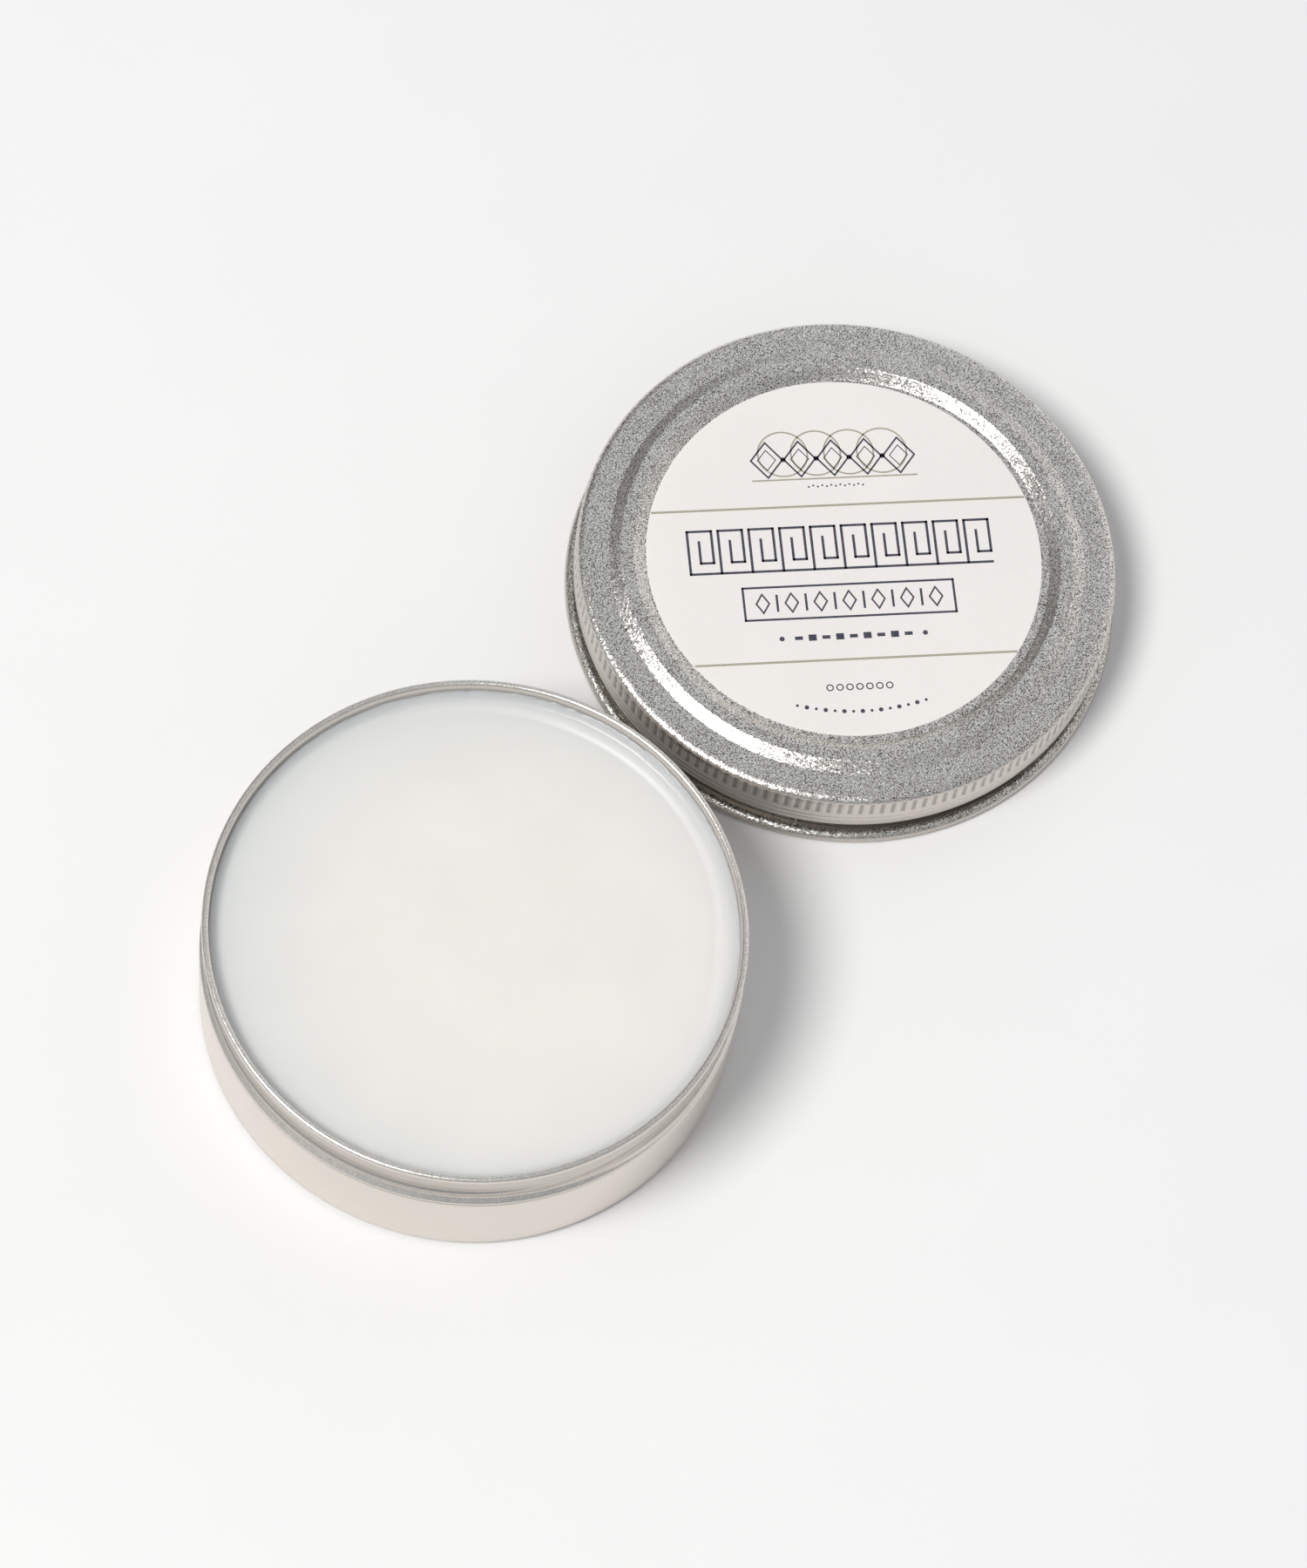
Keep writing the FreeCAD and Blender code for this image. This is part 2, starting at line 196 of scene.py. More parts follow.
class StudioSettings(bpy.types.PropertyGroup):
    heading: angle("Camera heading", "Where it looks, turned from +Y towards +X", 60.42)
    elevation: angle("Camera elevation", "Height of the camera above the horizon", 64.61)
    roll: angle("Camera roll", "How far the camera is rolled", 10.8)
    distance: length("Camera distance", "From the camera to the spot it looks at", 677.9 * MM)
    slide: length("Camera slide", "How far the camera is slid to its left", 0.5 * MM)
    lift: length("Camera lift", "How far the camera is slid up its own frame", 0.48 * MM)
    lens: bpy.props.FloatProperty(
        name="Lens", description="Focal length in millimetres", default=120, min=10,
    )
    floor_tint: colour("Floor", "Colour of the paper floor", (0.84, 0.84, 0.835))
    key_power: bpy.props.FloatProperty(
        name="Key power", description="Power of the soft box", default=27.0, min=0, unit="POWER",
    )
    key_size: length("Key size", "Width of the soft box", 760 * MM)
    key_distance: length("Key distance", "From the object to the soft box", 1900 * MM)
    sky: share("Sky", "Brightness of the room", 0.46, most=3)


# ---- shaping ----

def rounding_reach(before, corner, after, radius):
    """How far along its two edges a corner is cut back to be rounded to radius."""
    opening = (before - corner).angle(after - corner)
    return radius / math.tan(opening / 2)


def turned(outline, wedge_steps):
    """Turns an outline once round the Z axis.

    Each corner is (across, up, rounding radius, cuts in the edge that follows it).  The outline
    is spun through one wedge in wedge_steps, and the wedge is doubled until it closes.
    """
    shape = bmesh.new()
    spots = [Vector((across, 0, up)) for across, up, _, _ in outline]
    corners = [shape.verts.new(spot) for spot in spots]
    for start, end in zip(corners, corners[1:]):
        shape.edges.new((start, end))
    for place, (_, _, radius, _) in enumerate(outline):
        if radius:
            before, here, after = spots[place - 1], spots[place], spots[place + 1]
            reach = rounding_reach(before, here, after, radius)
            bmesh.ops.bevel(shape, geom=[corners[place]], offset=reach, offset_type="OFFSET",
                            segments=ROUND_SEGMENTS, profile=0.5, affect="VERTICES",
                            material=-1)
    for place, (_, _, _, cuts) in enumerate(outline):
        if cuts:
            run = longest_edge_between(shape, spots[place], spots[place + 1])
            bmesh.ops.subdivide_edges(shape, edges=[run], cuts=cuts)
    wedge = math.tau / 2 ** DOUBLINGS
    bmesh.ops.spin(shape, geom=shape.verts[:] + shape.edges[:], cent=(0, 0, 0),
                   axis=(0, 0, 1), dvec=(0, 0, 0), angle=wedge, steps=wedge_steps)
    for doubling in range(DOUBLINGS):
        everything = shape.verts[:] + shape.edges[:] + shape.faces[:]
        copy = bmesh.ops.duplicate(shape, geom=everything)
        verts = [part for part in copy["geom"] if isinstance(part, bmesh.types.BMVert)]
        bmesh.ops.rotate(shape, verts=verts, cent=(0, 0, 0),
                         matrix=Matrix.Rotation(wedge * 2 ** doubling, 3, "Z"))
    bmesh.ops.remove_doubles(shape, verts=shape.verts[:], dist=SAME_SPOT)
    bmesh.ops.recalc_face_normals(shape, faces=shape.faces[:])
    return shape


def longest_edge_between(shape, start, end):
    """The edge that is left of the run from start to end once its corners are rounded."""
    along = (end - start).normalized()
    reach = (end - start).length

    def on_run(spot):
        passed = spot.dot(along)
        beside = (spot - along * passed).length
        return beside < SAME_SPOT and -SAME_SPOT <= passed <= reach + SAME_SPOT

    edges = [edge for edge in shape.edges if all(on_run(vert.co - start) for vert in edge.verts)]
    return max(edges, key=lambda edge: edge.calc_length())


def finished(name, shape, material, body, replaces=(), smooth=True):
    """Makes the shape a piece of the object that rides on a body."""
    mesh = bpy.data.meshes.new(name)
    for face in shape.faces:
        face.smooth = smooth
    shape.to_mesh(mesh)
    shape.free()
    piece = bpy.data.objects.new(name, mesh)
    bpy.context.scene.collection.objects.link(piece)
    mesh.materials.append(material)
    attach(piece, body)
    if replaces:
        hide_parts(*replaces)
    return piece


def eased(value):
    """0 to 1 with soft ends."""
    value = min(1.0, max(0.0, value))
    return value * value * (3 - 2 * value)


def swell(offset, width):
    """A smooth rounded ridge: 1 in the middle and 0 at half its width."""
    if abs(offset) >= width / 2:
        return 0.0
    return (1 + math.cos(math.tau * offset / width)) / 2


def thread_push(turn, height, sizes, cup):
    """How far out of 1 the thread has risen at a turn past its start and at a height."""
    whole = cup.thread_turns * math.tau
    push = 0.0
    for lap in (turn, turn + math.tau):
        if lap <= whole:
            middle = sizes.thread_start + cup.thread_pitch * lap / math.tau
            ends = eased(lap / sizes.thread_fade) * eased((whole - lap) / sizes.thread_fade)
            push = max(push, ends * swell(height - middle, cup.thread_width))
    return push


# ---- finishes ----

def node(tree, kind, **settings):
    made = tree.nodes.new(kind)
    for name, value in settings.items():
        setattr(made, name, value)
    return made


def feed(tree, socket, source):
    """Links a socket, or sets it to a plain value."""
    if isinstance(source, bpy.types.NodeSocket):
        tree.links.new(source, socket)
    else:
        socket.default_value = source


def maths(tree, operation, first, second=0.0):
    made = node(tree, "ShaderNodeMath", operation=operation)
    feed(tree, made.inputs[0], first)
    feed(tree, made.inputs[1], second)
    return made.outputs[0]


def vector_maths(tree, operation, first, second=None):
    made = node(tree, "ShaderNodeVectorMath", operation=operation)
    feed(tree, made.inputs[0], first)
    if second is not None:
        feed(tree, made.inputs[1], second)
    return made.outputs["Value" if operation in ("DOT_PRODUCT", "LENGTH") else 0]


def spread(tree, value, low, high, new_low=0.0, new_high=1.0):
    """Carries low to high over to a new range, and stops at its ends."""
    made = node(tree, "ShaderNodeMapRange")
    for place, source in enumerate((value, low, high, new_low, new_high)):
        feed(tree, made.inputs[place], source)
    return made.outputs[0]


def between(tree, value, first, last):
    """Carries a value from 0 to 1 over to a range."""
    return spread(tree, value, 0.0, 1.0, first, last)


def mixture(tree, first, second, weight):
    """Weight parts of the first value, and the rest of the second."""
    return maths(tree, "ADD", maths(tree, "MULTIPLY", first, weight),
                 maths(tree, "MULTIPLY", second, 1 - weight))


def scaled(tree, vector, factor):
    made = node(tree, "ShaderNodeVectorMath", operation="SCALE")
    feed(tree, made.inputs[0], vector)
    feed(tree, made.inputs["Scale"], factor)
    return made.outputs[0]


def split(tree, vector):
    """The three parts of a vector."""
    made = node(tree, "ShaderNodeSeparateXYZ")
    feed(tree, made.inputs[0], vector)
    return made.outputs


def within(tree, value, low, high, soft):
    """1 where the value is between low and high, and 0 outside, with soft edges."""
    rise = spread(tree, value, low - soft, low + soft)
    fall = spread(tree, value, high - soft, high + soft, 1.0, 0.0)
    return maths(tree, "MULTIPLY", rise, fall)


def blended(tree, factor, first, second):
    made = node(tree, "ShaderNodeMix", data_type="RGBA")
    feed(tree, made.inputs["Factor"], factor)
    feed(tree, made.inputs["A"], first)
    feed(tree, made.inputs["B"], second)
    return made.outputs["Result"]


def cloud(tree, vector, scale, detail=2.0):
    """Cloudy noise around a half."""
    made = node(tree, "ShaderNodeTexNoise")
    feed(tree, made.inputs["Vector"], vector)
    feed(tree, made.inputs["Scale"], scale)
    made.inputs["Detail"].default_value = detail
    return made.outputs["Fac"]


def bump(tree, height, distance, strength=1.0, normal=None):
    made = node(tree, "ShaderNodeBump")
    feed(tree, made.inputs["Height"], height)
    made.inputs["Distance"].default_value = distance
    made.inputs["Strength"].default_value = strength
    if normal is not None:
        feed(tree, made.inputs["Normal"], normal)
    return made.outputs["Normal"]


def rgba(tint):
    return (*tint, 1.0)


def group_tree(name, inputs, outputs):
    """A node group with named sockets; each input is (name, kind, value)."""
    tree = bpy.data.node_groups.new(name, "ShaderNodeTree")
    for label, kind, value in inputs:
        socket = tree.interface.new_socket(name=label, in_out="INPUT", socket_type=kind)
        if value is not None:
            socket.default_value = value
    for label, kind in outputs:
        tree.interface.new_socket(name=label, in_out="OUTPUT", socket_type=kind)
    return tree, node(tree, "NodeGroupInput").outputs, node(tree, "NodeGroupOutput").inputs


def frosted_grain():
    """Frosted aluminium: tiny facets that each tilt their own way, faint on upright metal."""
    name = "frosted_grain"
    if name in bpy.data.node_groups:
        return bpy.data.node_groups[name]
    tree, given, result = group_tree(
        name,
        [("Vector", "NodeSocketVector", None), ("Cells", "NodeSocketFloat", 4000.0),
         ("Level Tilt", "NodeSocketFloat", 0.2), ("Wall Tilt", "NodeSocketFloat", 0.01)],
        [("Tone", "NodeSocketFloat"), ("Level", "NodeSocketFloat"),
         ("Normal", "NodeSocketVector")],
    )
    steep, flat = 0.55, 0.78  # upward part of the normal on upright and on level metal
    speck_share = 0.93  # the rest of the tone is in wide patches
    patch_scale = 200.0
    upright_contrast = 0.08
    surface = node(tree, "ShaderNodeNewGeometry").outputs["Normal"]
    level = spread(tree, split(tree, surface)["Z"], steep, flat)
    feed(tree, result["Level"], level)

    fine = maths(tree, "MULTIPLY", given["Cells"], 1.4)
    facets = node(tree, "ShaderNodeTexVoronoi")
    feed(tree, facets.inputs["Vector"], given["Vector"])
    feed(tree, facets.inputs["Scale"], fine)
    centred = vector_maths(tree, "SUBTRACT", facets.outputs["Color"], (0.5, 0.5, 0.5))
    tilt = between(tree, level, given["Wall Tilt"], given["Level Tilt"])
    lean = scaled(tree, centred, maths(tree, "MULTIPLY", tilt, 2.0))
    feed(tree, result["Normal"],
         vector_maths(tree, "NORMALIZE", vector_maths(tree, "ADD", surface, lean)))

    specks = spread(tree, cloud(tree, given["Vector"], fine, detail=1.5), 0.34, 0.66)
    patches = spread(tree, cloud(tree, given["Vector"], patch_scale), 0.35, 0.65)
    mixed = mixture(tree, specks, patches, speck_share)
    contrast = between(tree, level, upright_contrast, 1.0)
    swing = maths(tree, "MULTIPLY", maths(tree, "SUBTRACT", mixed, 0.5), contrast)
    feed(tree, result["Tone"], maths(tree, "ADD", swing, 0.5))
    return tree


def new_material(name):
    material = bpy.data.materials.new(name)
    material.use_nodes = True
    tree = material.node_tree
    return material, tree, tree.nodes["Principled BSDF"].inputs


def object_place(tree, centre=(0, 0, 0), turn=0.0):
    """Object coordinates, centred on a piece and turned to its own heading."""
    place = node(tree, "ShaderNodeTexCoord").outputs["Object"]
    mapping = node(tree, "ShaderNodeMapping", vector_type="TEXTURE")
    mapping.inputs["Location"].default_value = centre
    mapping.inputs["Rotation"].default_value = (0, 0, turn)
    feed(tree, mapping.inputs["Vector"], place)
    return mapping.outputs["Vector"]


def aluminium(name, settings, centre, sparkle, bands, knurls=None):
    """Pressed aluminium, frosted where it lies level and satin where it stands up; upright metal
    is painted darker and warmer than level metal as painted shade.

    Each band is (low, high, brightness): a darker ring of metal, with painted shade in grooves,
    fine lines and on the neck, and only a darker tone on the hem.  Knurls are (number, low,
    high), and have painted shade in their hollows.
    """
    material, tree, shader = new_material(name)
    place = object_place(tree, centre)
    grain = node(tree, "ShaderNodeGroup", node_tree=frosted_grain())
    feed(tree, grain.inputs["Vector"], place)
    grain.inputs["Cells"].default_value = 1 / settings.grain
    grain.inputs["Level Tilt"].default_value = sparkle
    grain.inputs["Wall Tilt"].default_value = settings.wall_sparkle
    tone, level = grain.outputs["Tone"], grain.outputs["Level"]

    contrast = settings.contrast * sparkle / settings.sparkle
    bright = between(tree, tone, 1 - contrast, 1 + contrast * 0.6)
    across, along, up = split(tree, place)
    # Each band darkens a ring of metal: painted shade, except on the hem, which is only darker.
    for low, high, band_tone in bands:
        band = within(tree, up, low, high, soft=0.1 * MM)
        bright = maths(tree, "MULTIPLY", bright, between(tree, band, 1.0, band_tone))
    # Painted shade darkens the hollows between the knurls.
    if knurls:
        number, low, high = knurls
        turn = maths(tree, "ARCTAN2", along, across)
        wave = maths(tree, "COSINE", maths(tree, "MULTIPLY", turn, float(number)))
        hollow = spread(tree, wave, 0.1, -0.7)
        tall = within(tree, up, low + 0.15 * MM, high - 0.2 * MM, soft=0.15 * MM)
        ticks = maths(tree, "MULTIPLY", hollow, tall)
        bright = maths(tree, "MULTIPLY", bright,
                       between(tree, ticks, 1.0, settings.knurl_shade))

    # Painted shade: upright metal takes the darker upright colour, level metal the plain one.
    hue = blended(tree, level, rgba(settings.upright_shade_tint), rgba(settings.tint))
    feed(tree, shader["Base Color"], scaled(tree, hue, bright))
    shader["Metallic"].default_value = 1.0
    feed(tree, shader["Roughness"],
         between(tree, tone, settings.roughness * 1.2, settings.roughness * 0.8))
    feed(tree, shader["Normal"], grain.outputs["Normal"])
    return material


def wax_finish(settings):
    """Poured wax: even and milky, with a cool painted shade darkening it towards the wall, most
    on one side, and a skin of slight ripples.
    """
    material, tree, shader = new_material("poured_wax")
    place = object_place(tree)
    # Painted shade by the wall: it grows with distance from a spot set off to one side, so that
    # side is darker.
    least_shaded = (1.5 * MM, -4.5 * MM, 0)
    thick, thin = 10 * MM, 39 * MM  # distances from the least shaded spot at which the painted shade begins and is full
    flat = vector_maths(tree, "MULTIPLY", place, (1, 1, 0))
    out = vector_maths(tree, "LENGTH", vector_maths(tree, "SUBTRACT", flat, least_shaded))
    edge = maths(tree, "POWER", spread(tree, out, thick, thin), 2.2)
    mottled = spread(tree, cloud(tree, place, 90.0, detail=3.0), 0.35, 0.65)
    lighter = [part * 1.03 for part in settings.tint]
    warm = blended(tree, mottled, rgba(settings.tint), rgba(lighter))
    feed(tree, shader["Base Color"], blended(tree, edge, warm, rgba(settings.shaded_wax_tint)))
    skin = bump(tree, cloud(tree, place, 160.0), 0.05 * MM, 0.4)
    feed(tree, shader["Normal"],
         bump(tree, cloud(tree, place, 1500.0), 0.004 * MM, 0.5, skin))
    shader["Roughness"].default_value = 0.32
    shader["Subsurface Weight"].default_value = 0.85
    shader["Subsurface Radius"].default_value = (1.0, 0.95, 0.85)
    shader["Subsurface Scale"].default_value = 4 * MM
    shader["IOR"].default_value = 1.44
    return material


def foam_finish():
    """White closed-cell foam."""
    material, tree, shader = new_material("liner_foam")
    cell = 0.35 * MM
    white, shaded = (0.86, 0.85, 0.83, 1), (0.74, 0.73, 0.71, 1)
    cells = node(tree, "ShaderNodeTexVoronoi")
    feed(tree, cells.inputs["Vector"], object_place(tree, LID_CENTRE))
    cells.inputs["Scale"].default_value = 1 / cell
    shade = spread(tree, cells.outputs["Distance"], 0.0, 0.9)
    feed(tree, shader["Base Color"], blended(tree, shade, white, shaded))
    feed(tree, shader["Normal"], bump(tree, cells.outputs["Distance"], 0.05 * MM, 0.7))
    shader["Roughness"].default_value = 0.85
    return material


def paper_finish(settings):
    """Uncoated white paper: fibres, a little tooth and a faint unevenness of tone."""
    material, tree, shader = new_material("label_paper")
    place = object_place(tree, LABEL_CENTRE, settings.heading)
    stretched = vector_maths(tree, "MULTIPLY", place, (1.0, 3.0, 1.0))
    fibres = cloud(tree, stretched, 1600.0, detail=4.0)
    tone = mixture(tree, fibres, cloud(tree, place, 60.0), 0.5)
    darker = [part * 0.95 for part in settings.paper]
    feed(tree, shader["Base Color"],
         blended(tree, spread(tree, tone, 0.35, 0.65), rgba(darker), rgba(settings.paper)))
    feed(tree, shader["Normal"], bump(tree, fibres, 0.012 * MM, 0.5))
    shader["Roughness"].default_value = 0.62
    return material


def ink_finish(name, tint, metallic):
    """Printed ink, a touch thinner in places."""
    material, tree, shader = new_material(name)
    place = object_place(tree, LABEL_CENTRE)
    worn = spread(tree, cloud(tree, place, 2600.0, detail=3.0), 0.3, 0.7)
    paler = [part * 0.75 + 0.05 for part in tint]
    feed(tree, shader["Base Color"], blended(tree, worn, rgba(tint), rgba(paler)))
    shader["Metallic"].default_value = metallic
    shader["Roughness"].default_value = 0.45
    return material


# ---- pieces ----

class TIN_OT_cup(bpy.types.Operator):
    """Turn the tin: recessed base, straight wall, lip, threaded neck and curled rim"""
    bl_idname = "polish_tin.cup"
    bl_label = "Tin"

    wedge_steps = 13

    def execute(self, context):
        sizes = context.scene.polish_tin_cup
        neck = BODY_RADIUS - sizes.neck_step
        bore = neck - SHEET
        rim = CUP_HIGH.z
        curl = sizes.rim_curl
        lip = sizes.lip_height
        groove = BODY_RADIUS - sizes.lip_groove
        ring = BODY_RADIUS - sizes.foot_width
        inner_round = sizes.base_round - SHEET
        shape = turned([
            (0, sizes.recess, 0, 0),
            (ring, sizes.recess, 0.4 * MM, 0),
            (ring + 0.6 * MM, 0, 0.4 * MM, 0),
            (BODY_RADIUS, 0, sizes.base_round, 8),
            (BODY_RADIUS, lip - 0.75 * MM, 0.15 * MM, 0),
            (groove, lip - 0.55 * MM, 0.1 * MM, 0),
            (groove, lip - 0.4 * MM, 0.1 * MM, 0),
            (BODY_RADIUS, lip - 0.2 * MM, 0.12 * MM, 0),
            (BODY_RADIUS, lip + 0.05 * MM, 0.14 * MM, 0),
            (neck, sizes.neck_foot - 0.1 * MM, 0.25 * MM, 34),
            (neck, sizes.neck_foot + 3.2 * MM, 0, 5),
            (neck, rim - 2 * curl - 0.1 * MM, 0.1 * MM, 0),
            (bore + 2 * curl, rim - 2 * curl, curl * 0.9, 0),
            (bore + 2 * curl, rim, curl, 0),
            (bore, rim, curl, 6),
            (bore, sizes.neck_foot - 0.5 * MM, 0.2 * MM, 0),
            (BODY_RADIUS - SHEET, lip - 0.5 * MM, 0.2 * MM, 2),
            (BODY_RADIUS - SHEET, SHEET, inner_round, 0),
            (0, SHEET, 0, 0),
        ], self.wedge_steps)
        self.roll_thread(shape, sizes, neck)
        finish = context.scene.polish_tin_metal
        # Painted shade in the groove under the lip and over the neck.
        metal = aluminium("tin_aluminium", finish, (0, 0, 0), finish.rim_sparkle, [
            (lip - 0.6 * MM, lip - 0.35 * MM, finish.line_shade),
            (sizes.neck_foot, rim - 2 * curl, finish.neck_shade),
        ])
        finished("tin_cup", shape, metal, "tin", ["tin_body"])
        return {"FINISHED"}

    def roll_thread(self, shape, sizes, neck):
        """Pushes the thread out of the neck, but no further than its own height."""
        for vert in shape.verts:
            out = vert.co.xy.length
            if out < neck - 0.05 * MM or vert.co.z < sizes.lip_height + 0.1 * MM:
                continue
            turn = (math.atan2(vert.co.y, vert.co.x) - sizes.thread_heading) % math.tau
            room = max(0.0, neck + sizes.thread_height - out)
            vert.co.xy *= (out + thread_push(turn, vert.co.z, sizes, sizes) * room) / out


class TIN_OT_wax(bpy.types.Operator):
    """Pour the wax: a level pool whose edge creeps up the wall"""
    bl_idname = "polish_tin.wax"
    bl_label = "Wax"

    wedge_steps = 12

    def execute(self, context):
        cup = context.scene.polish_tin_cup
        sizes = context.scene.polish_tin_wax
        bore = BODY_RADIUS - cup.neck_step - SHEET - sizes.fit
        belly = BODY_RADIUS - SHEET - sizes.fit
        level = WAX_HIGH.z
        base = WAX_LOW.z + sizes.fit
        shape = turned([
            (0, base, 0, 0),
            (belly, base, cup.base_round - SHEET, 0),
            (belly, cup.lip_height - 0.5 * MM, 0.2 * MM, 0),
            (bore, cup.neck_foot - 0.5 * MM, 0.2 * MM, 0),
            (bore, level, 0, 2),
            (bore, level + 0.01 * MM, 0, 8),
            (bore - sizes.climb_width, level, 0, 18),
            (bore - sizes.ledge_width - 1.6 * MM, level, 0, 6),
            (0, level, 0, 0),
        ], self.wedge_steps)
        self.creep(shape, sizes, bore, level)
        finished("wax_fill", shape, wax_finish(sizes), "tin", ["polish"])
        return {"FINISHED"}

    def creep(self, shape, sizes, bore, level):
        """Lifts the edge of the pool up the wall and leaves it uneven on one side."""
        for vert in shape.verts:
            if vert.co.z < level - 0.001 * MM:
                continue
            out = vert.co.xy.length
            heading = Vector((vert.co.x, vert.co.y, 0)).normalized() if out else Vector((1, 0, 0))
            near = eased((out - bore + sizes.climb_width) / sizes.climb_width)
            wobble = noise.noise(heading * 1.7) * 0.5 * MM
            shelf = eased((out - bore + sizes.ledge_width + wobble) / sizes.ledge_slope)
            turn = math.atan2(heading.y, heading.x) - sizes.ledge_heading
            side = eased(math.cos(turn) * 1.15 - 0.05)
            uneven = (noise.noise(heading * 9) + 0.7 * noise.noise(heading * 31)
                      + 0.5 * noise.noise(heading * 80))
            climb = sizes.climb * (1.2 + 0.1 * side)
            crept = near * near * (climb + sizes.ragged * uneven * (0.3 + side))
            swirl = noise.noise(vert.co * 60) * sizes.swirl
            vert.co.z = level + crept + shelf * side * sizes.ledge + swirl * (1 - near)


class TIN_OT_lid(bpy.types.Operator):
    """Press the lid: sunk panel, bead, rounded edge, knurled skirt, thread and curled hem"""
    bl_idname = "polish_tin.lid"
    bl_label = "Lid"

    steps_per_knurl = 4

    def execute(self, context):
        sizes = context.scene.polish_tin_lid
        skirt = HEM_RADIUS - sizes.hem_reach
        shoulder = LID_HIGH.z - sizes.bead_height
        panel = LABEL_LOW.z
        crest = LID_HIGH.z
        curl = sizes.hem_curl
        tuck = skirt - sizes.tuck
        hem_bore = tuck - SHEET
        band = skirt - 0.15 * MM
        line = skirt - sizes.line_depth
        lines = (sizes.upper_line, sizes.lower_line)
        outline = [
            (0, panel, 0, 3),
            (sizes.bead_inner, panel, 0.35 * MM, 1),
            (sizes.crest_inner, crest, 0.4 * MM, 1),
            (sizes.crest_outer, crest, 0.4 * MM, 1),
            (sizes.bead_outer, shoulder, 0.5 * MM, 2),
            (skirt, shoulder, sizes.top_round, 10),
        ]
        for height in lines:
            outline += [
                (skirt, height + 0.3 * MM, 0.12 * MM, 0),
                (line, height + 0.1 * MM, 0.1 * MM, 0),
                (skirt, height - 0.1 * MM, 0.12 * MM, 0),
            ]
        outline += [
            (skirt, sizes.tuck_top, 0.12 * MM, 0),
            (tuck, sizes.tuck_foot, 0.2 * MM, 0),
            (tuck - 0.1 * MM, 1.9 * MM, 0, 0),
            (tuck - 0.1 * MM, sizes.slit, 0, 0),
            (tuck + 0.1 * MM, sizes.slit, 0, 0),
            (tuck + 0.1 * MM, 2 * curl, 0.2 * MM, 0),
            (HEM_RADIUS, 2 * curl, curl * 0.9, 0),
            (HEM_RADIUS, 0, curl * 0.95, 0),
            (hem_bore, 0, curl * 0.9, 0),
            (hem_bore, 2.3 * MM, 0.2 * MM, 6),
            (band - SHEET, 3.6 * MM, 0.2 * MM, 14),
            (band - SHEET, 4.6 * MM, 0.1 * MM, 0),
            (skirt - SHEET, 4.9 * MM, 0.1 * MM, 2),
            (skirt - SHEET, shoulder - SHEET, sizes.top_round - SHEET, 0),
            (sizes.bead_outer, shoulder - SHEET, 0.3 * MM, 0),
            (sizes.crest_outer, crest - SHEET, 0.3 * MM, 0),
            (sizes.crest_inner, crest - SHEET, 0.3 * MM, 0),
            (sizes.bead_inner, panel - SHEET, 0.3 * MM, 2),
            (0, panel - SHEET, 0, 0),
        ]
        shape = turned(outline, sizes.knurls * self.steps_per_knurl // 2 ** DOUBLINGS)
        self.press_knurls(shape, sizes, skirt)
        self.roll_thread(shape, sizes, band)
        bmesh.ops.translate(shape, verts=shape.verts[:], vec=LID_CENTRE)
        finish = context.scene.polish_tin_metal
        groove_top = sizes.tuck_top - 0.1 * MM
        # Painted shade in the groove above the hem, on the skirt above the tuck and in the fine
        # lines; the hem band is only darker.
        bands = [
            (0, 2 * curl, finish.hem_tone),
            (2 * curl + 0.1 * MM, groove_top, finish.groove_shade),
            (groove_top, sizes.lower_line - 0.1 * MM, finish.line_shade),
        ]
        for height in lines:
            bands.append((height - 0.05 * MM, height + 0.2 * MM, finish.line_shade))
        knurls = (sizes.knurls, sizes.knurl_foot, sizes.knurl_top)
        metal = aluminium("lid_aluminium", finish, LID_CENTRE, finish.sparkle, bands, knurls)
        finished("lid_press", shape, metal, "lid", ["lid_shell"])
        return {"FINISHED"}

    def press_knurls(self, shape, sizes, skirt):
        """Dents the upper skirt evenly all round, deepest between the knurls' two ends."""
        middle = (sizes.knurl_top + sizes.knurl_foot) / 2
        half = (sizes.knurl_top - sizes.knurl_foot) / 2
        for vert in shape.verts:
            out = vert.co.xy.length
            from_middle = abs(vert.co.z - middle) / half
            if out < skirt - 0.6 * MM or from_middle > 1:
                continue
            turn = math.atan2(vert.co.y, vert.co.x)
            across = (1 - math.cos(turn * sizes.knurls)) / 2
            depth = sizes.knurl_depth * across * eased(1 - from_middle ** 4)
            vert.co.xy *= (out - depth) / out

    def roll_thread(self, shape, sizes, band):
        """Rolls the lid's own thread inwards from the inner face of the skirt."""
        cup = bpy.context.scene.polish_tin_cup
        for vert in shape.verts:
            out = vert.co.xy.length
            inner_face = band - 2 * SHEET < out < band - 0.9 * SHEET
            if not inner_face or not 1.7 * MM < vert.co.z < 5.5 * MM:
                continue
            turn = math.atan2(vert.co.y, vert.co.x) % math.tau
            push = thread_push(turn, vert.co.z, sizes, cup)
            vert.co.xy *= (out - push * sizes.thread_reach) / out


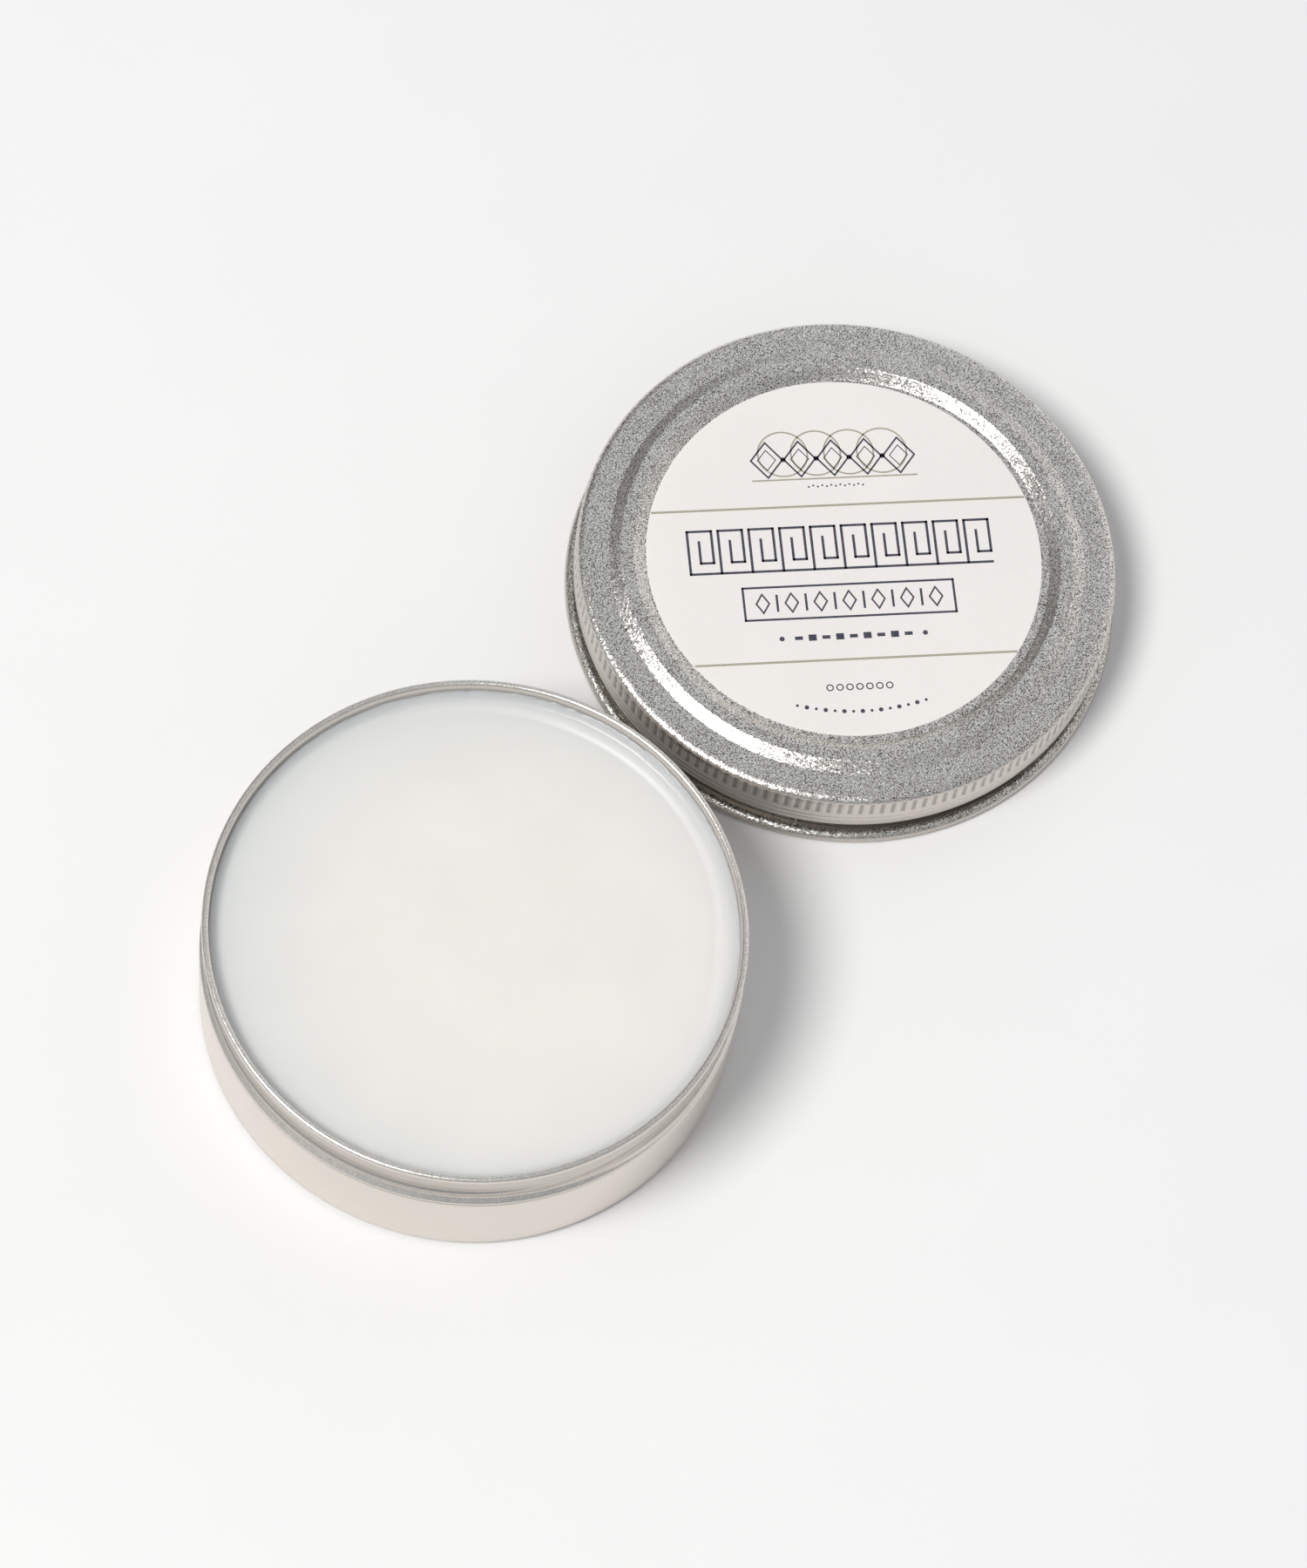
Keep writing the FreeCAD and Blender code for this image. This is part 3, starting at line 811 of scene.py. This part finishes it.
class TIN_OT_liner(bpy.types.Operator):
    """Cut the foam liner, with the ring the rim has pressed into it"""
    bl_idname = "polish_tin.liner"
    bl_label = "Liner"

    def execute(self, context):
        low, high = LINER_LOW.z, LINER_HIGH.z
        rim = BODY_RADIUS - context.scene.polish_tin_cup.neck_step
        dented = low + 0.15 * MM
        shape = turned([
            (0, low, 0, 2),
            (rim - 0.9 * MM, low, 0.1 * MM, 0),
            (rim - 0.6 * MM, dented, 0.1 * MM, 0),
            (rim + 0.3 * MM, dented, 0.1 * MM, 0),
            (rim + 0.6 * MM, low, 0.1 * MM, 0),
            (LINER_RADIUS, low, 0.2 * MM, 0),
            (LINER_RADIUS, high, 0.2 * MM, 0),
            (0, high, 0, 0),
        ], 6)
        bmesh.ops.translate(shape, verts=shape.verts[:], vec=LID_CENTRE)
        piece = finished("foam_liner", shape, foam_finish(), "liner", ["lid_liner"])
        return {"FINISHED"}


class TIN_OT_label(bpy.types.Operator):
    """Cut the paper label"""
    bl_idname = "polish_tin.label"
    bl_label = "Label"

    def execute(self, context):
        low, high = LABEL_LOW.z, LABEL_HIGH.z
        shape = turned([
            (0, low, 0, 0),
            (LABEL_RADIUS, low, 0, 0),
            (LABEL_RADIUS, high, 0.03 * MM, 0),
            (0, high, 0, 0),
        ], 8)
        bmesh.ops.translate(shape, verts=shape.verts[:], vec=LABEL_CENTRE)
        paper = paper_finish(context.scene.polish_tin_label)
        finished("label_paper", shape, paper, "lid", ["lid_label"], smooth=False)
        return {"FINISHED"}


def bar(print_mesh, start, end, width):
    """A straight stroke of ink between two points of the label, in millimetres."""
    start, end = Vector((*start, 0)) * MM, Vector((*end, 0)) * MM
    run = end - start
    place = Matrix.Translation((start + end) / 2)
    place @= Matrix.Rotation(math.atan2(run.y, run.x), 4, "Z")
    place @= Matrix.Diagonal((run.length, width * MM, 1, 1))
    bmesh.ops.create_grid(print_mesh, x_segments=1, y_segments=1, size=0.5, matrix=place)


def strokes(print_mesh, points, width):
    """A run of joined strokes, each carried on by half its width so that the corners fill."""
    for start, end in zip(points, points[1:]):
        start, end = Vector(start), Vector(end)
        carry = (end - start).normalized() * width / 2
        bar(print_mesh, start - carry, end + carry, width)


def hoop(print_mesh, centre, radius, width, sides=40, tall=1.0):
    """An outlined circle, or with four sides a lozenge."""
    place = Matrix.Translation(Vector((*centre, 0)) * MM) @ Matrix.Diagonal((1, tall, 1, 1))
    edges = []
    for size in (radius - width / 2, radius + width / 2):
        made = bmesh.ops.create_circle(print_mesh, segments=sides, radius=size * MM, matrix=place)
        edges += {edge for vert in made["verts"] for edge in vert.link_edges}
    bmesh.ops.bridge_loops(print_mesh, edges=edges)


def dot(print_mesh, centre, radius, sides=16):
    """A filled circle."""
    place = Matrix.Translation(Vector((*centre, 0)) * MM)
    bmesh.ops.create_circle(print_mesh, cap_ends=True, segments=sides, radius=radius * MM,
                            matrix=place)


def printed(name, print_mesh, settings, material):
    """Gives flat strokes their thickness and lays them on the label."""
    bmesh.ops.recalc_face_normals(print_mesh, faces=print_mesh.faces[:])
    for face in print_mesh.faces:
        if face.normal.z < 0:
            face.normal_flip()
    sunk = 0.01 * MM
    bmesh.ops.solidify(print_mesh, geom=print_mesh.faces[:], thickness=settings.ink_height + sunk)
    top = max(vert.co.z for vert in print_mesh.verts)
    lift = Vector((0, 0, LABEL_HIGH.z + settings.ink_height - top))
    bmesh.ops.rotate(print_mesh, verts=print_mesh.verts[:], cent=(0, 0, 0),
                     matrix=Matrix.Rotation(settings.heading, 3, "Z"))
    bmesh.ops.translate(print_mesh, verts=print_mesh.verts[:], vec=LABEL_CENTRE + lift)
    return finished(name, print_mesh, material, "lid", smooth=False)


class TIN_OT_print(bpy.types.Operator):
    """Print the label: gold rules and rings, and a navy fret, frame, dashes and dots"""
    bl_idname = "polish_tin.print"
    bl_label = "Print"

    def execute(self, context):
        settings = context.scene.polish_tin_label
        gold, navy = bmesh.new(), bmesh.new()
        self.rules(gold)
        self.emblem(gold, navy)
        self.fret(navy)
        self.frame(navy)
        self.dashes(navy)
        self.foot(navy)
        printed("print_gold", gold, settings, ink_finish("gold_ink", settings.gold, 0.35))
        printed("print_navy", navy, settings, ink_finish("navy_ink", settings.navy, 0.0))
        return {"FINISHED"}

    def rules(self, gold):
        """Two full-width rules."""
        radius = LABEL_RADIUS / MM - 0.1
        for up in (7.55, -15.0):
            half = math.sqrt(radius ** 2 - up ** 2)
            bar(gold, (-half, up), (half, up), 0.32)

    def emblem(self, gold, navy):
        """Overlapping gold rings behind a row of navy lozenges, over a rule and small dots."""
        rings_up, lozenges_up, rule_up, dots_up = 15.4, 14.6, 11.6, 10.4
        rings_across = (-6.6, -2.2, 2.2, 6.6)
        for across in rings_across:
            hoop(gold, (across, rings_up), 3.3, 0.22)
        bar(gold, (-11.0, rule_up), (11.0, rule_up), 0.22)
        for across in (-8.8, -4.4, 0.0, 4.4, 8.8):
            hoop(navy, (across, lozenges_up), 2.1, 0.3, sides=4, tall=1.25)
            hoop(navy, (across, lozenges_up), 1.2, 0.16, sides=4, tall=1.25)
        for across in rings_across:
            dot(navy, (across, lozenges_up), 0.36)
        for place in range(13):
            dot(navy, (-3.6 + 0.6 * place, dots_up + 0.18 * (place % 2)), 0.14, sides=8)

    def fret(self, navy):
        """A tall square fret in thin lines."""
        foot, head, unit, stroke = -1.75, 4.5, 4.07, 0.34
        start, repeats = -20.35, 10
        outer, inner = unit * 0.78, unit * 0.36
        step = (head - foot) / 4
        for place in range(repeats):
            left = start + unit * place
            strokes(navy, [
                (left, foot), (left, head),
                (left + outer, head), (left + outer, foot + step),
                (left + inner, foot + step), (left + inner, head - step),
            ], stroke)
        strokes(navy, [(start, foot), (start + unit * (repeats - 1) + outer, foot)], stroke)

    def frame(self, navy):
        """A framed row of narrow lozenges and ticks."""
        half, low, high, stroke = 13.85, -8.8, -4.1, 0.3
        strokes(navy, [
            (-half, low), (half, low), (half, high), (-half, high), (-half, low),
        ], stroke)
        middle = (low + high) / 2
        for place in range(13):
            across = -11.4 + 1.9 * place
            if place % 2:
                bar(navy, (across, middle - 1.25), (across, middle + 1.25), stroke)
            else:
                hoop(navy, (across, middle), 0.85, 0.26, sides=4, tall=1.6)

    def dashes(self, navy):
        """A bolder row of short blocks between two dots."""
        up = -11.65
        for across in (-9.4, 9.4):
            dot(navy, (across, up), 0.34)
        for place in range(9):
            across = -7.2 + 1.8 * place
            bar(navy, (across - 0.52, up), (across + 0.52, up), 0.9 if place % 2 else 0.5)

    def foot(self, navy):
        """A short row of small rings, and one of dots that sags in the middle."""
        rings_up, dots_up = -18.97, -22.5
        for place in range(7):
            hoop(navy, (-3.9 + 1.3 * place, rings_up), 0.42, 0.16, sides=16)
        for place in range(15):
            lean = (place - 7) / 7
            radius = 0.3 if place % 2 else 0.2
            dot(navy, (8.4 * lean, dots_up + 1.2 * lean * lean), radius, sides=12)


# ---- studio ----

class TIN_OT_studio(bpy.types.Operator):
    """Set the floor, the lights, the room and the camera"""
    bl_idname = "polish_tin.studio"
    bl_label = "Studio"

    def execute(self, context):
        settings = context.scene.polish_tin_studio
        self.right = Vector((math.cos(settings.heading), -math.sin(settings.heading), 0))
        self.away = Vector((math.sin(settings.heading), math.cos(settings.heading), 0))
        self.aim = LID_CENTRE / 2 + self.away * 0.15 * MM
        self.lay_floor(settings)
        self.light_room(context.scene, settings)
        self.hang_soft_box(settings)
        self.place_camera(context.scene, settings)
        context.scene.view_settings.view_transform = "Standard"
        return {"FINISHED"}

    def towards(self, right, away, up):
        """A direction as the camera's operator would say it: to the right, away and up."""
        return (self.right * right + self.away * away + Vector((0, 0, up))).normalized()

    def lay_floor(self, settings):
        """A round sheet of paper, wide enough to fill the view."""
        shape = bmesh.new()
        bmesh.ops.create_circle(shape, cap_ends=True, segments=96, radius=4.0)
        mesh = bpy.data.meshes.new("floor")
        shape.to_mesh(mesh)
        shape.free()
        floor = bpy.data.objects.new("floor", mesh)
        bpy.context.scene.collection.objects.link(floor)
        material, tree, shader = new_material("paper_floor")
        tone = spread(tree, cloud(tree, object_place(tree), 40.0), 0.3, 0.7)
        paler = [part * 1.01 for part in settings.floor_tint]
        feed(tree, shader["Base Color"],
             blended(tree, tone, rgba(settings.floor_tint), rgba(paler)))
        shader["Roughness"].default_value = 0.9
        mesh.materials.append(material)

    def light_room(self, scene, settings):
        """A grey room, darker low on the left, and lighter low on the right and beyond.

        The camera itself sees a plain backdrop.
        """
        world = bpy.data.worlds.new("room")
        world.use_nodes = True
        scene.world = world
        tree = world.node_tree
        looking = node(tree, "ShaderNodeTexCoord").outputs["Object"]

        def facing(direction):
            return vector_maths(tree, "DOT_PRODUCT", looking, direction)

        level = settings.sky
        plain = (level * 0.98, level, level * 1.03, 1)
        light = (level * 1.35, level * 1.35, level * 1.35, 1)
        dark = (level * 0.45, level * 0.45, level * 0.44, 1)
        backdrop = (0.86, 0.86, 0.85, 1)
        right = spread(tree, facing(self.towards(0.85, 0.40, 0.30)), 0.55, 0.95)
        left = spread(tree, facing(self.towards(-0.72, 0.62, 0.30)), 0.80, 0.97)
        beyond = spread(tree, facing(self.away), 0.34, 0.52, 0.9, 1.3)
        lit = scaled(tree, blended(tree, right, plain, light), beyond)
        toned = blended(tree, left, lit, dark)
        seen = node(tree, "ShaderNodeLightPath").outputs["Is Camera Ray"]
        feed(tree, tree.nodes["Background"].inputs["Color"], blended(tree, seen, toned, backdrop))

    def hang_soft_box(self, settings):
        """One big soft box, high on the left."""
        data = bpy.data.lights.new("soft_box", "AREA")
        data.shape = "DISK"
        data.size = settings.key_size
        data.energy = settings.key_power
        data.color = (1.0, 0.99, 0.975)
        lamp = bpy.data.objects.new("soft_box", data)
        bpy.context.scene.collection.objects.link(lamp)
        heading = self.towards(-0.394, -0.341, 0.854)
        lamp.location = self.aim + heading * settings.key_distance
        lamp.rotation_mode = "QUATERNION"
        lamp.rotation_quaternion = heading.to_track_quat("Z", "Y")

    def place_camera(self, scene, settings):
        """Looks down at the object from in front, and then slides a little sideways and up."""
        data = bpy.data.cameras.new("camera")
        data.lens = settings.lens
        data.sensor_width = 36
        data.clip_start, data.clip_end = 0.01, 50
        camera = bpy.data.objects.new("camera", data)
        scene.collection.objects.link(camera)
        back = self.towards(0, -math.cos(settings.elevation), math.sin(settings.elevation))
        level_up = back.cross(self.right)
        across = self.right * math.cos(settings.roll) + level_up * math.sin(settings.roll)
        up = back.cross(across)
        turn = Matrix((across, up, back)).transposed()
        spot = self.aim + back * settings.distance - across * settings.slide + up * settings.lift
        camera.matrix_world = Matrix.Translation(spot) @ turn.to_4x4()
        scene.camera = camera


# ---- add-on ----

SETTINGS = {
    "polish_tin_cup": TinCupSettings,
    "polish_tin_wax": WaxSettings,
    "polish_tin_lid": LidSettings,
    "polish_tin_label": LabelSettings,
    "polish_tin_metal": MetalSettings,
    "polish_tin_studio": StudioSettings,
}
OPERATORS = (
    TIN_OT_cup, TIN_OT_wax, TIN_OT_lid, TIN_OT_liner, TIN_OT_label, TIN_OT_print, TIN_OT_studio,
)


class TIN_PT_panel(bpy.types.Panel):
    """The tin's pieces and their settings"""
    bl_idname = "TIN_PT_panel"
    bl_label = "Polish Tin"
    bl_space_type = "VIEW_3D"
    bl_region_type = "UI"
    bl_category = "Polish Tin"

    def draw(self, context):
        for operator in OPERATORS:
            self.layout.operator(operator.bl_idname)
        for attribute in SETTINGS:
            box = self.layout.box()
            group = getattr(context.scene, attribute)
            for name in group.__annotations__:
                box.prop(group, name)


def register():
    for group in SETTINGS.values():
        bpy.utils.register_class(group)
    for attribute, group in SETTINGS.items():
        setattr(bpy.types.Scene, attribute, bpy.props.PointerProperty(type=group))
    for operator in OPERATORS:
        bpy.utils.register_class(operator)
    bpy.utils.register_class(TIN_PT_panel)


def unregister():
    bpy.utils.unregister_class(TIN_PT_panel)
    for operator in reversed(OPERATORS):
        bpy.utils.unregister_class(operator)
    for attribute in SETTINGS:
        delattr(bpy.types.Scene, attribute)
    for group in reversed(SETTINGS.values()):
        bpy.utils.unregister_class(group)


def main():
    register()
    bpy.ops.polish_tin.cup()
    bpy.ops.polish_tin.wax()
    bpy.ops.polish_tin.lid()
    bpy.ops.polish_tin.liner()
    bpy.ops.polish_tin.label()
    bpy.ops.polish_tin.print()
    bpy.ops.polish_tin.studio()


if __name__ == "__main__":
    main()
